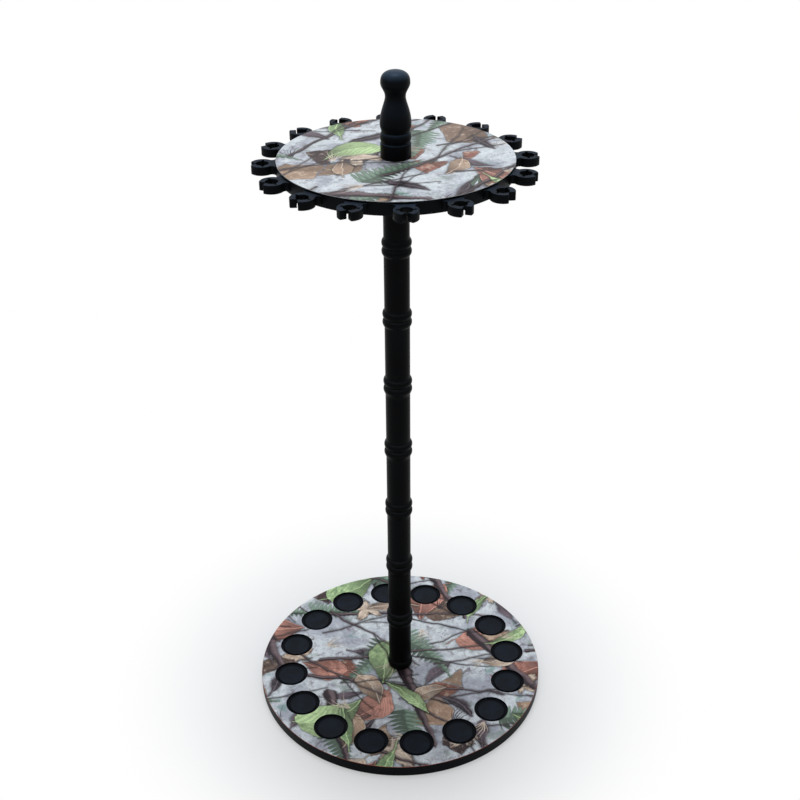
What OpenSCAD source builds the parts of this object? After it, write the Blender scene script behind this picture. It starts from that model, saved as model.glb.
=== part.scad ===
// Round floor rack for fishing rods. The rod butts stand in shallow cups in a base disc,
// and the rods are held upright by rubber clips around the edge of a smaller disc on a
// turned post. The origin is at the middle of the underside of the base, +Z up, and the
// front of the rack looks along -Y. All sizes are in millimetres.

/* [Rods] */
// Number of rods that the rack holds
rod_count = 16; // [4:1:20]

/* [Base disc] */
// Diameter of the base disc
base_d = 394; // [370:1:460]
// Thickness of the base board without its printed sheet
base_board_t = 15.2; // [13:0.1:24]
// Thickness of the printed sheet on both discs
sheet_t = 0.8; // [0.4:0.1:1.5]
// Chamfer along the lower edge of both boards
board_chamfer = 0.8; // [0.2:0.1:2]

/* [Cups] */
// Diameter of a cup
cup_d = 46; // [41:0.5:50]
// Distance from the rim of a cup to the edge of the base
cup_margin = 18.5; // [12:0.25:26]
// Depth from the printed surface to the top of the pad
cup_depth = 2.2; // [1.4:0.1:4]
// Diameter of the pad in a cup
pad_d = 36; // [30:0.5:38]
// Thickness of the pad in a cup
pad_t = 1.5; // [1:0.1:3]
// Turn of the first cup from the front, in degrees
cup_turn = 7.8; // [0:0.1:22]

/* [Post] */
// Length of the post between the two discs
post_l = 739.8; // [600:0.1:900]
// Diameter of the plain stretches of the post
post_d = 31; // [28:0.5:34]
// Number of pairs of beads
bead_pairs = 7; // [3:1:8]
// Height of the first pair of beads above the foot of the post
first_pair_z = 88.8; // [60:0.1:120]
// Diameter over the beads
bead_d = 35.9; // [35:0.1:40]
// Length of one bead along the post
bead_l = 11.2; // [8:0.1:14]
// Distance between the crests of the two beads in a pair
bead_step = 10.8; // [8:0.1:14]
// Diameter over the bead at the foot
foot_bead_d = 34.8; // [34.5:0.1:40]
// Length of the bead at the foot
foot_bead_l = 13; // [8:0.1:20]

/* [Top disc] */
// Diameter of the top disc
top_d = 270; // [240:1:330]
// Thickness of the top board without its printed sheet
top_board_t = 15.2; // [14:0.1:24]

/* [Clips] */
// Height of a clip
clip_h = 10; // [9:0.1:12]
// Distance from the printed surface of the top disc down to the clips
clip_drop = 2.7; // [0.5:0.1:3]
// Diameter of a clip
clip_d = 27.6; // [24:0.2:32]
// Diameter of the round opening that holds the rod
clip_bore_d = 14.5; // [10:0.1:16]
// Distance from the edge of the top disc to the middle of the rod opening
clip_reach = 15; // [14:0.1:20]
// Turn of the first clip from the front, in degrees
clip_turn = 3.9; // [0:0.1:22]
// Width of the slot between the jaws
slot_w = 2; // [1:0.1:3]
// Width of the two notches that let the jaws flex
notch_w = 2.8; // [1:0.1:4]
// Wall left outside each notch
hinge_wall = 3; // [2:0.1:5]
// Distance of the notches behind the middle of the rod opening
notch_back = 0.7; // [0:0.1:2]
// Depth of the straight slot between the rod opening and the funnel
slot_l = 0.8; // [0.5:0.1:3]
// Opening angle of the funnel
funnel_angle = 94; // [60:1:110]
// Radius at the tips of the jaws
tip_r = 1; // [0.4:0.1:1.5]
// Width of the neck behind the jaws
neck_w = 20; // [16:0.5:22]
// Width of the foot of the clip along the edge of the disc
clip_foot_w = 27; // [24:0.5:32]
// Thickness of the foot at its two ends
clip_foot_t = 1; // [0.6:0.1:1.5]

/* [Handle] */
// Height of the handle
handle_h = 97.8; // [92:0.1:110]
// Diameter of the collar at the bottom of the handle
collar_d = 34.8; // [30:0.1:40]
// Height of the collar
collar_h = 17.6; // [12:0.1:20]
// Diameter in the two grooves beside the bead
groove_d = 31.5; // [26:0.1:34]
// Diameter over the handle's bead
handle_bead_d = 34.9; // [34.6:0.1:40]
// Height of the bead from groove to groove
handle_bead_h = 12.2; // [8:0.1:14]
// Greatest diameter of the vase above the bead
vase_d = 35.4; // [34.6:0.1:40]
// Height of the lip below the greatest diameter of the vase
lip_h = 9.2; // [6:0.1:12]
// Diameter of the neck under the ball
neck_d = 23.2; // [20:0.1:28]
// Length of the neck
neck_l = 1.1; // [0.5:0.1:5]
// Greatest diameter of the ball
ball_d = 33.1; // [30:0.1:40]
// Height of the ball below its greatest diameter
ball_low_h = 15; // [11:0.1:18]
// Height of the ball above its greatest diameter
ball_top_h = 13.5; // [10:0.1:18]

/* [Fastenings] */
// Thread diameter of the bolt and of the stud
thread_d = 8; // [6:0.5:10]
// Diameter of the bolt's head
bolt_head_d = 14; // [13:0.5:18]
// Height of the bolt's head
bolt_head_h = 4.6; // [3:0.1:5]
// Width over the corners of the hexagon socket in the bolt's head
hex_socket_d = 5.8; // [4:0.1:6.5]
// Diameter of the washer
washer_d = 24; // [20:0.5:30]
// Thickness of the washer
washer_t = 1.6; // [1:0.1:2]
// Depth of the counterbore under the base
counterbore_h = 7.6; // [7.2:0.1:9]
// Outer diameter of the threaded inserts
insert_d = 12; // [11.5:0.1:14]
// Length of the threaded inserts
insert_l = 18; // [12:0.5:25]
// Depth to which the stud is screwed into the handle
stud_handle_l = 32; // [20:0.5:45]
// Diameter of the shank of a clip screw
screw_d = 3.5; // [3:0.1:4]
// Diameter of the head of a clip screw
screw_head_d = 7; // [6:0.1:7.4]
// Length of a clip screw
screw_l = 25; // [20:0.5:35]

/* [Clearances] */
// Gap around screws, bolts, inserts and the washer in their holes
hole_gap = 0.1; // [0.05:0.05:0.3]
// Gap between the foot of a clip and the edge of the disc
seat_gap = 0.1; // [0.05:0.05:0.3]

/* [Hidden] */
$fn = 96;
// Small overrun so that a cut passes a face
over = 1;

base_t = base_board_t + sheet_t;
top_t = top_board_t + sheet_t;
post_top_z = base_t + post_l;
top_z = post_top_z + top_t;

cup_circle_r = base_d / 2 - cup_margin - cup_d / 2;
cup_floor_z = base_t - cup_depth - pad_t;
clip_circle_r = top_d / 2 + clip_reach;
clip_top_z = top_z - clip_drop;
clip_mid_z = clip_top_z - clip_h / 2;

bolt_hole_d = thread_d + 2 * hole_gap;
insert_hole_d = insert_d + 2 * hole_gap;
screw_hole_d = screw_d + 2 * hole_gap;
// Spare depth below the end of a bolt or screw
spare_l = 4;

// Heights of the bolt's seat on the washer and of the ends of bolt and stud
bolt_seat_z = counterbore_h - washer_t;
bolt_tip_z = base_t + insert_l;
stud_low_z = post_top_z - insert_l;

// Radius of the arc through a bead's crest and its two ends
function arc_r(chord, rise) = (chord * chord / 4 + rise * rise) / (2 * rise);
bead_arc_r = arc_r(bead_l, (bead_d - post_d) / 2);
foot_arc_r = arc_r(foot_bead_l, (foot_bead_d - post_d) / 2);
pair_pitch = (post_l - first_pair_z) / bead_pairs;

// A clip screw's head lies this far behind the wall of the rod opening
head_sink = 0.3;
// Slope of the head's cone, height over width
head_slope = 1.25;
head_cone_h = (screw_head_d - screw_d) / 2 * head_slope;
head_u = -clip_bore_d / 2 - head_sink;
head_seat_d = screw_head_d + 2 * hole_gap;

function two_digits(i) = i < 10 ? str("0", i) : str(i);
function cup_pad_name(i) = str("cup_pad_", two_digits(i));
function clip_name(i) = str("clip_", two_digits(i));
function turn(i, first) = first + (i - 1) * 360 / rod_count;

// Puts its children at number i on a circle; the children's +X points outward
module on_circle(i, first, r) {
    rotate([0, 0, turn(i, first) - 90]) translate([r, 0, 0]) children();
}

// Round board with its underside at z = 0 and a chamfer around the lower edge
module board(d, t) {
    cylinder(d1 = d - 2 * board_chamfer, d2 = d, h = board_chamfer);
    translate([0, 0, board_chamfer]) cylinder(d = d, h = t - board_chamfer);
}

// Round sheet with a hole for the thread in its middle
module sheet(d) {
    difference() {
        cylinder(d = d, h = sheet_t);
        translate([0, 0, -over]) cylinder(d = bolt_hole_d, h = sheet_t + 2 * over);
    }
}

module base_board() {
    color([0.03, 0.03, 0.035])
    difference() {
        board(base_d, base_board_t);
        translate([0, 0, -over]) cylinder(d = bolt_hole_d, h = base_t + 2 * over);
        translate([0, 0, -over])
            cylinder(d = washer_d + 2 * hole_gap, h = counterbore_h + over);
        for (i = [1:rod_count]) on_circle(i, cup_turn, cup_circle_r) cup_pocket();
    }
}

// Straight wall down to the level of the pad's top, then a sloping corner to the floor
module cup_pocket() {
    translate([0, 0, cup_floor_z]) cylinder(d1 = cup_d - 2 * pad_t, d2 = cup_d, h = pad_t);
    translate([0, 0, cup_floor_z + pad_t]) cylinder(d = cup_d, h = cup_depth + over);
}

module base_laminate() {
    color([0.42, 0.43, 0.38])
    difference() {
        translate([0, 0, base_board_t]) sheet(base_d);
        for (i = [1:rod_count]) on_circle(i, cup_turn, cup_circle_r) cup_pocket();
    }
}

module cup_pad(i) {
    color([0.10, 0.11, 0.13])
    on_circle(i, cup_turn, cup_circle_r)
        translate([0, 0, cup_floor_z]) cylinder(d = pad_d, h = pad_t);
}

module base_bolt() {
    color([0.62, 0.62, 0.64]) {
        translate([0, 0, bolt_seat_z]) cylinder(d = thread_d, h = bolt_tip_z - bolt_seat_z);
        difference() {
            translate([0, 0, bolt_seat_z - bolt_head_h]) cylinder(d = bolt_head_d, h = bolt_head_h);
            translate([0, 0, bolt_seat_z - bolt_head_h - over])
                cylinder(d = hex_socket_d, h = bolt_head_h / 2 + over, $fn = 6);
        }
    }
}

module base_washer() {
    color([0.66, 0.66, 0.68])
    translate([0, 0, bolt_seat_z])
    difference() {
        cylinder(d = washer_d, h = washer_t);
        translate([0, 0, -over]) cylinder(d = bolt_hole_d, h = washer_t + 2 * over);
    }
}

// Half outline of the post, turned about the axis
module post_outline() {
    intersection() {
        square([base_d, post_l]);
        union() {
            square([post_d / 2, post_l]);
            translate([foot_bead_d / 2 - foot_arc_r, foot_bead_l / 2]) circle(r = foot_arc_r);
            for (pair = [0:bead_pairs - 1], side = [-1, 1])
                translate([bead_d / 2 - bead_arc_r,
                           first_pair_z + pair * pair_pitch + side * bead_step / 2])
                    circle(r = bead_arc_r);
        }
    }
}

module post() {
    color([0.03, 0.03, 0.035])
    difference() {
        translate([0, 0, base_t]) rotate_extrude() post_outline();
        translate([0, 0, base_t - over])
            cylinder(d = insert_hole_d, h = insert_l + spare_l + over);
        translate([0, 0, post_top_z - insert_l - spare_l])
            cylinder(d = insert_hole_d, h = insert_l + spare_l + over);
    }
}

module post_inserts() {
    color([0.72, 0.58, 0.30])
    for (low_z = [base_t, post_top_z - insert_l])
        translate([0, 0, low_z])
        difference() {
            cylinder(d = insert_d, h = insert_l);
            translate([0, 0, -over]) cylinder(d = bolt_hole_d, h = insert_l + 2 * over);
        }
}

module top_board() {
    color([0.03, 0.03, 0.035])
    difference() {
        translate([0, 0, post_top_z]) board(top_d, top_board_t);
        translate([0, 0, post_top_z - over]) cylinder(d = bolt_hole_d, h = top_t + 2 * over);
        for (i = [1:rod_count]) on_circle(i, clip_turn, clip_circle_r) clip_screw_hole();
    }
}

module top_laminate() {
    color([0.42, 0.43, 0.38])
    translate([0, 0, post_top_z + top_board_t]) sheet(top_d);
}

// Pilot hole along the screw's axis, from the head inward
module clip_screw_hole() {
    translate([head_u, 0, clip_mid_z]) rotate([0, -90, 0])
        cylinder(d = screw_hole_d, h = screw_l + spare_l);
}

// Countersunk seat of a screw's head, open to the rod opening
module clip_head_seat() {
    translate([head_u, 0, clip_mid_z]) rotate([0, -90, 0])
        cylinder(d1 = head_seat_d, d2 = screw_hole_d, h = head_cone_h);
    translate([head_u, 0, clip_mid_z]) rotate([0, 90, 0])
        cylinder(d = head_seat_d, h = -head_u);
}

// Countersunk screw along -X, its head's face just behind the wall of the rod opening
module clip_screw() {
    translate([head_u, 0, clip_mid_z]) rotate([0, -90, 0]) {
        cylinder(d1 = screw_head_d, d2 = screw_d, h = head_cone_h);
        cylinder(d = screw_d, h = screw_l);
    }
}

module clip_screws() {
    color([0.55, 0.55, 0.57])
    for (i = [1:rod_count]) on_circle(i, clip_turn, clip_circle_r) clip_screw();
}

// The clip's outline is drawn with the rod opening's middle at the origin and +X outward
clip_r = clip_d / 2;
slot_end_u = clip_bore_d / 2 + slot_l;
half_funnel = funnel_angle / 2;
// Middle of the round at a jaw's tip: it touches the funnel's face and the clip's outside
tip_offset = slot_w / 2 * cos(half_funnel) - slot_end_u * sin(half_funnel) + tip_r;
tip_turn = half_funnel + asin(tip_offset / (clip_r - tip_r));
tip_u = (clip_r - tip_r) * cos(tip_turn);
tip_v = (clip_r - tip_r) * sin(tip_turn);
// Round hollow between the neck and the foot, and where the disc's edge ends the foot
foot_fillet_r = (clip_foot_w - neck_w) / 2;
foot_end_u = sqrt(pow(top_d / 2 + seat_gap, 2) - pow(clip_foot_w / 2, 2)) - clip_circle_r;
foot_fillet_u = foot_end_u + clip_foot_t + foot_fillet_r;

module clip_outline() {
    difference() {
        union() {
            circle(d = clip_d);
            clip_foot_outline();
        }
        circle(d = clip_bore_d);
        translate([-clip_circle_r, 0]) circle(r = top_d / 2 + seat_gap, $fn = 360);
        translate([0, -slot_w / 2]) square([slot_end_u + over, slot_w]);
        for (side = [-1, 1]) flex_notch(side);
        funnel_outline();
    }
    for (side = [-1, 1]) translate([tip_u, side * tip_v]) circle(r = tip_r);
}

// Neck and foot, with a round hollow on each side between them
module clip_foot_outline() {
    difference() {
        translate([-clip_reach - over, -clip_foot_w / 2])
            square([clip_reach + over, clip_foot_w]);
        for (side = [-1, 1]) translate([foot_fillet_u, side * clip_foot_w / 2]) {
            circle(r = foot_fillet_r);
            translate([0, -foot_fillet_r]) square([clip_reach, 2 * foot_fillet_r]);
        }
    }
}

// Slot with a round end that runs sideways out of the rod opening
module flex_notch(side) {
    notch_v = clip_r - hinge_wall - notch_w / 2;
    translate([-notch_back, side * notch_v]) circle(d = notch_w);
    translate([-notch_back - notch_w / 2, side > 0 ? 0 : -notch_v]) square([notch_w, notch_v]);
}

// Wide mouth between the jaws; it leaves room for the round at each tip
module funnel_outline() {
    face_u = tip_u + tip_r * sin(half_funnel);
    face_v = tip_v - tip_r * cos(half_funnel);
    far = 2 * clip_r;
    polygon([
        [slot_end_u, slot_w / 2],
        [face_u, face_v],
        [tip_u, tip_v],
        [far * cos(tip_turn), far * sin(tip_turn)],
        [far * cos(tip_turn), -far * sin(tip_turn)],
        [tip_u, -tip_v],
        [face_u, -face_v],
        [slot_end_u, -slot_w / 2]
    ]);
}

module clip(i) {
    color([0.05, 0.055, 0.065])
    on_circle(i, clip_turn, clip_circle_r)
    difference() {
        translate([0, 0, clip_top_z - clip_h]) linear_extrude(clip_h) clip_outline();
        clip_screw_hole();
        clip_head_seat();
    }
}

// Heights of the handle's stretches above the top disc
collar_edge_r = 1.2;
bead_low_z = collar_h;
bead_high_z = bead_low_z + handle_bead_h;
vase_z = bead_high_z + lip_h;
ball_z = handle_h - ball_top_h;
neck_high_z = ball_z - ball_low_h;
neck_low_z = neck_high_z - neck_l;
// Points on each stretch of the handle's outline
steps = 10;

// Outline point at share t of a stretch that swells from groove to crest and back
function bead_point(t) =
    [groove_d / 2 + (handle_bead_d - groove_d) / 2 * (1 - pow(abs(2 * t - 1), 3)),
     bead_low_z + t * handle_bead_h];
function lip_point(t) =
    [groove_d / 2 + (vase_d - groove_d) / 2 * sin(90 * t), bead_high_z + t * lip_h];
function vase_point(t) =
    [(vase_d + neck_d) / 4 - (vase_d - neck_d) / 4 * cos(180 * pow(1 - t, 0.74)),
     vase_z + t * (neck_low_z - vase_z)];
function ball_low_point(t) =
    [(ball_d + neck_d) / 4 - (ball_d - neck_d) / 4 * cos(180 * pow(t, 1.12)),
     neck_high_z + t * ball_low_h];
// The top is a little fuller than half an ellipse
ball_fullness = 0.77;
function ball_top_point(t) =
    [ball_d / 2 * pow(cos(90 * t), ball_fullness),
     ball_z + ball_top_h * pow(sin(90 * t), ball_fullness)];
function collar_point(t) =
    [collar_d / 2 - collar_edge_r + collar_edge_r * cos(90 * t),
     collar_h - collar_edge_r + collar_edge_r * sin(90 * t)];

module handle_outline() {
    polygon(concat(
        [[0, 0], [collar_d / 2, 0]],
        [for (k = [0:4]) collar_point(k / 4)],
        [for (k = [0:steps]) bead_point(k / steps)],
        [for (k = [1:steps]) lip_point(k / steps)],
        [for (k = [1:steps]) vase_point(k / steps)],
        [for (k = [0:steps]) ball_low_point(k / steps)],
        [for (k = [1:steps - 1]) ball_top_point(k / steps)],
        [[0, handle_h]]
    ));
}

module handle() {
    color([0.03, 0.03, 0.035])
    translate([0, 0, top_z])
    difference() {
        rotate_extrude() handle_outline();
        translate([0, 0, -over]) cylinder(d = bolt_hole_d, h = stud_handle_l + spare_l + over);
    }
}

module handle_stud() {
    color([0.62, 0.62, 0.64])
    translate([0, 0, stud_low_z])
        cylinder(d = thread_d, h = top_z + stud_handle_l - stud_low_z);
}

base_board();
base_laminate();
base_bolt();
base_washer();
post();
post_inserts();
top_board();
top_laminate();
clip_screws();
handle();
handle_stud();
for (i = [1:rod_count]) cup_pad(i);
for (i = [1:rod_count]) clip(i);
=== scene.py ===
"""Looks of the round rod rack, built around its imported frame.

Lengths are in metres unless a name or a comment says mm.
"""

import math

import bmesh
import bpy
from mathutils import Matrix, Vector


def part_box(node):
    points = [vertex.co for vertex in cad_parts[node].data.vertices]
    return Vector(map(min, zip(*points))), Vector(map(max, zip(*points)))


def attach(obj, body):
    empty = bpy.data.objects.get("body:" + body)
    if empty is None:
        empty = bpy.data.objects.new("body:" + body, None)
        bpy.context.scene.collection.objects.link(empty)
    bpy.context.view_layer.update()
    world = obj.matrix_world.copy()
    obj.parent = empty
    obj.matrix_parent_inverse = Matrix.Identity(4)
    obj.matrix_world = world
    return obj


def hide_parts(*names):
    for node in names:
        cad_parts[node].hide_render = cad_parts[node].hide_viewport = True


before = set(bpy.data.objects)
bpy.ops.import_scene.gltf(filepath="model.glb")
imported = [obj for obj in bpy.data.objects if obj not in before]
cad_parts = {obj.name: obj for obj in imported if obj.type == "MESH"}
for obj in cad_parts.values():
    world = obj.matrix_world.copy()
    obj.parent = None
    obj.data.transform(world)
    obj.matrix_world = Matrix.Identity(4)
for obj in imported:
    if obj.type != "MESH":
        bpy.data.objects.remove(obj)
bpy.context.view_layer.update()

MM = 0.001
ROOT = "root"
FULL_TURN = 2 * math.pi

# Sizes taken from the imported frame
BASE_LOW, BASE_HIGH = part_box("base_board")
BASE_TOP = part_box("base_laminate")[1].z
BASE_R = -BASE_LOW.x
POST_LOW, POST_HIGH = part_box("post")
TOP_LOW, TOP_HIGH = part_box("top_board")
TOP_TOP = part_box("top_laminate")[1].z
TOP_R = TOP_HIGH.x
HANDLE_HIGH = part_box("handle")[1].z
CLIP_LOW_Z, CLIP_HIGH_Z = (corner.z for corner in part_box("clip_01"))
PAD_LOW_Z, PAD_HIGH_Z = (corner.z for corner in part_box("cup_pad_01"))

# Layout of the cups and clips, as in the part's source
RODS = 16
CUP_R = 23 * MM
CUP_CIRCLE_R = 155.5 * MM
CUP_TURN = math.radians(7.8)
PAD_R = 18 * MM
CLIP_CIRCLE_R = TOP_R + 15 * MM
CLIP_TURN = math.radians(3.9)
BOLT_HOLE_R = 4.1 * MM
WASHER_HOLE_R = 12.1 * MM
COUNTERBORE = 7.6 * MM


def srgb(red, green, blue):
    """A colour as seen on screen, 0 to 255, as the linear colour that a shader takes."""
    def linear(value):
        share = value / 255
        return share / 12.92 if share <= 0.04045 else ((share + 0.055) / 1.055) ** 2.4
    return (linear(red), linear(green), linear(blue), 1.0)


# Shader formulas

class Term:
    """A value in a shader, so that a pattern is written as a plain formula."""

    def __init__(self, graph, socket):
        self.graph = graph
        self.socket = socket

    def __add__(self, other):
        return self.graph.math("ADD", self, other)

    __radd__ = __add__

    def __sub__(self, other):
        return self.graph.math("SUBTRACT", self, other)

    def __rsub__(self, other):
        return self.graph.math("SUBTRACT", other, self)

    def __mul__(self, other):
        return self.graph.math("MULTIPLY", self, other)

    __rmul__ = __mul__

    def __truediv__(self, other):
        return self.graph.math("DIVIDE", self, other)

    def __abs__(self):
        return self.graph.math("ABSOLUTE", self)

    def __pow__(self, other):
        return self.graph.math("POWER", self, other)


class Graph:
    """The shader nodes of a material or a world, with a short call for each kind of node."""

    def __init__(self, owner, end):
        owner.use_nodes = True
        self.nodes = owner.node_tree.nodes
        self.links = owner.node_tree.links
        self.surface = self.nodes[end].inputs["Surface"]

    def node(self, kind, **settings):
        made = self.nodes.new(kind)
        for key, value in settings.items():
            setattr(made, key, value)
        return made

    def feed(self, socket, value):
        if isinstance(value, Term):
            self.links.new(value.socket, socket)
        elif isinstance(value, tuple):
            socket.default_value = value[:len(socket.default_value)]
        else:
            socket.default_value = value

    def math(self, operation, *values, clamp=False):
        made = self.node("ShaderNodeMath", operation=operation, use_clamp=clamp)
        for socket, value in zip(made.inputs, values):
            self.feed(socket, value)
        return Term(self, made.outputs[0])

    def clamp(self, value):
        """The value, kept between 0 and 1."""
        return self.math("ADD", value, 0.0, clamp=True)

    def above(self, value, limit):
        """1 where the value is above the limit, 0 elsewhere."""
        return self.math("GREATER_THAN", value, limit)

    def vector(self, operation, *values):
        made = self.node("ShaderNodeVectorMath", operation=operation)
        for socket, value in zip(made.inputs, values):
            self.feed(socket, value)
        return Term(self, made.outputs[0])

    def smooth(self, low, high, value):
        """0 at low, 1 at high, and a smooth blend between them; low may be the larger one."""
        made = self.node("ShaderNodeMapRange", interpolation_type="SMOOTHSTEP")
        self.feed(made.inputs["Value"], value)
        self.feed(made.inputs["From Min"], low)
        self.feed(made.inputs["From Max"], high)
        return Term(self, made.outputs[0])

    def mix(self, first, second, share):
        made = self.node("ShaderNodeMix", data_type="RGBA")
        self.feed(made.inputs[0], share)
        self.feed(made.inputs[6], first)
        self.feed(made.inputs[7], second)
        return Term(self, made.outputs[2])

    def shade(self, colour, light):
        """The colour made darker or lighter by a factor."""
        made = self.node("ShaderNodeVectorMath", operation="SCALE")
        self.feed(made.inputs[0], colour)
        self.feed(made.inputs["Scale"], light)
        return Term(self, made.outputs[0])

    def place(self):
        """The point being shaded, in its object's frame, which is the shared one here."""
        return Term(self, self.node("ShaderNodeTexCoord").outputs["Object"])

    def split(self, vector):
        made = self.node("ShaderNodeSeparateXYZ")
        self.feed(made.inputs[0], vector)
        return [Term(self, socket) for socket in made.outputs]

    def join(self, x, y, z=0.0):
        made = self.node("ShaderNodeCombineXYZ")
        for socket, value in zip(made.inputs, (x, y, z)):
            self.feed(socket, value)
        return Term(self, made.outputs[0])

    def turn(self, vector, angle):
        made = self.node("ShaderNodeVectorRotate", rotation_type="Z_AXIS")
        self.feed(made.inputs["Vector"], vector)
        self.feed(made.inputs["Angle"], angle)
        return Term(self, made.outputs[0])

    def noise(self, vector, scale, detail=3.0, roughness=0.5, distortion=0.0, output=0):
        """A value around 0.5 that wanders from place to place, or three of them as a Color."""
        made = self.node("ShaderNodeTexNoise")
        self.feed(made.inputs["Vector"], vector)
        self.feed(made.inputs["Scale"], scale)
        self.feed(made.inputs["Detail"], detail)
        self.feed(made.inputs["Roughness"], roughness)
        self.feed(made.inputs["Distortion"], distortion)
        return Term(self, made.outputs[output])

    def chance(self, vector):
        """Three random numbers from 0 to 1 that belong to a point."""
        made = self.node("ShaderNodeTexWhiteNoise", noise_dimensions="3D")
        self.feed(made.inputs["Vector"], vector)
        return self.split(Term(self, made.outputs["Color"]))

    def direct_view(self):
        """1 for what the camera sees, also in gloss or glass, and 0 for rays that only light."""
        path = self.node("ShaderNodeLightPath")
        kinds = ("Is Camera Ray", "Is Glossy Ray", "Is Transmission Ray")
        camera, glossy, clear = (Term(self, path.outputs[kind]) for kind in kinds)
        return self.math("MAXIMUM", self.math("MAXIMUM", camera, glossy), clear)

    def end_with(self, first, second, share):
        """Ends the graph in a blend of two shaders."""
        both = self.node("ShaderNodeMixShader")
        self.feed(both.inputs[0], share)
        self.links.new(first, both.inputs[1])
        self.links.new(second, both.inputs[2])
        self.links.new(both.outputs[0], self.surface)


class Finish(Graph):
    """A material's nodes, around its Principled shader."""

    def __init__(self, name):
        self.material = bpy.data.materials.new(name)
        super().__init__(self.material, "Material Output")
        self.shader = self.nodes["Principled BSDF"]

    def set(self, **values):
        """Sets the shader's own sockets; an underscore in a name stands for a space."""
        for key, value in values.items():
            self.feed(self.shader.inputs[key.replace("_", " ")], value)

    def bump(self, height, depth_mm):
        """Relief of the given depth."""
        made = self.node("ShaderNodeBump")
        self.feed(made.inputs["Height"], height)
        self.feed(made.inputs["Distance"], depth_mm * MM)
        self.feed(made.inputs["Strength"], 1.0)
        self.links.new(made.outputs[0], self.shader.inputs["Normal"])


# Materials of the black parts and the metal; noise scales are per metre

BLUISH = (0.72, 0.86, 1.0, 1.0)
NEARLY_WHITE = (0.9, 0.95, 1.0, 1.0)
# Highlight colours painted onto faces that look up, standing in for light from above
BLUE_TOP_HIGHLIGHT = srgb(60, 78, 98)
GREY_TOP_HIGHLIGHT = srgb(53, 57, 63)
FAINT_TOP_HIGHLIGHT = srgb(18, 20, 25)
UNSTRETCHED = (1, 1, 1)
ALONG_Z = (1, 1, 0.08)


def faces_up(g, least=0.25):
    """1 where a surface faces the ceiling, 0 where its slope is steeper than least."""
    normal = Term(g, g.node("ShaderNodeNewGeometry").outputs["Normal"])
    return g.smooth(least, 0.95, g.split(normal)[2])


def satin_black(name, roughness, grain=UNSTRETCHED, top_highlight=BLUE_TOP_HIGHLIGHT, highlight_from=0.25,
                gloss=0.045, tint=BLUISH):
    """Sprayed black paint: faint grain and orange peel, and a painted bluish highlight where it
    faces up.
    """
    g = Finish(name)
    here = g.place()
    fibre = g.noise(g.vector("MULTIPLY", here, grain), scale=900, detail=4, roughness=0.6)
    peel = g.noise(here, scale=420, detail=2)
    cloud = g.noise(here, scale=22, detail=4, roughness=0.6)
    paint = g.mix(srgb(8, 8, 9), srgb(13, 14, 15), g.smooth(0.35, 0.75, cloud))
    # Painted highlight on faces that look up, varied by the cloud noise
    painted_highlight = faces_up(g, highlight_from) * (0.6 + 0.8 * (cloud - 0.5))
    g.set(
        Base_Color=g.mix(paint, top_highlight, painted_highlight),
        Roughness=roughness + 0.16 * (cloud - 0.5) + 0.08 * (fibre - 0.5),
        Specular_IOR_Level=gloss,
        Specular_Tint=tint,
    )
    g.bump(peel + 0.6 * fibre, depth_mm=0.05)
    return g.material


def moulded_rubber():
    """Matt black rubber with a painted bluish highlight on faces that look up, and a fine moulded
    texture.
    """
    g = Finish("moulded_rubber")
    here = g.place()
    cloud = g.noise(here, scale=75, detail=5, roughness=0.65)
    pores = g.noise(here, scale=2600, detail=2)
    rubber = g.mix(srgb(7, 7, 8), srgb(12, 13, 14), g.smooth(0.3, 0.75, cloud))
    # Painted highlight: bluish grey on faces that look up, standing in for light from above
    painted_highlight = faces_up(g) * g.smooth(0.1, 0.9, cloud)
    g.set(
        Base_Color=g.mix(rubber, srgb(38, 49, 64), painted_highlight),
        Roughness=0.5 + 0.2 * (cloud - 0.5),
        Specular_IOR_Level=0.045,
        Specular_Tint=BLUISH,
    )
    g.bump(pores + 0.8 * g.noise(here, scale=500, detail=3), depth_mm=0.06)
    return g.material


def pad_foam():
    """Dense black foam with a bluish cast, pressed smooth by rod butts."""
    g = Finish("pad_foam")
    here = g.place()
    worn = g.noise(here, scale=60, detail=4, roughness=0.6)
    cells = g.noise(here, scale=3200, detail=2)
    g.set(
        Base_Color=g.mix(srgb(10, 12, 16), srgb(20, 25, 35), g.smooth(0.3, 0.7, worn)),
        Roughness=0.5 + 0.2 * (worn - 0.5),
        Specular_IOR_Level=0.08,
        Specular_Tint=BLUISH,
    )
    g.bump(cells, depth_mm=0.08)
    return g.material


def plated_metal(name, colour, dull):
    """Plated fastener metal with fine scratches and a few dull patches."""
    g = Finish(name)
    here = g.place()
    brushed = g.vector("MULTIPLY", here, (1, 6, 1))
    scratches = g.noise(brushed, scale=900, detail=5, roughness=0.7)
    patches = g.smooth(0.4, 0.7, g.noise(here, scale=180, detail=4))
    g.set(
        Base_Color=g.mix(colour, dull, patches),
        Metallic=1.0,
        Roughness=0.3 + 0.2 * patches + 0.12 * (scratches - 0.5),
    )
    g.bump(scratches, depth_mm=0.03)
    return g.material


def sheet_bevel(name, dark, light):
    """Bevelled edge of a printed sheet, in two shades with fibre: the brown core on the base
    sheet, a light grey painted highlight on the top sheet.
    """
    g = Finish(name)
    layered = g.vector("MULTIPLY", g.place(), (1, 1, 4))
    fibre = g.noise(layered, scale=700, detail=4, roughness=0.6)
    g.set(
        Base_Color=g.mix(dark, light, g.smooth(0.3, 0.7, fibre)),
        Roughness=0.6,
    )
    g.bump(fibre, depth_mm=0.05)
    return g.material


# The printed sheet: a generic woodland camouflage, scattered by formulas. All its lengths are in
# mm and its noise scales per mm. A motif is drawn from its depth, which says how far a point lies
# inside its outline; outside it, the depth is negative.

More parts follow.
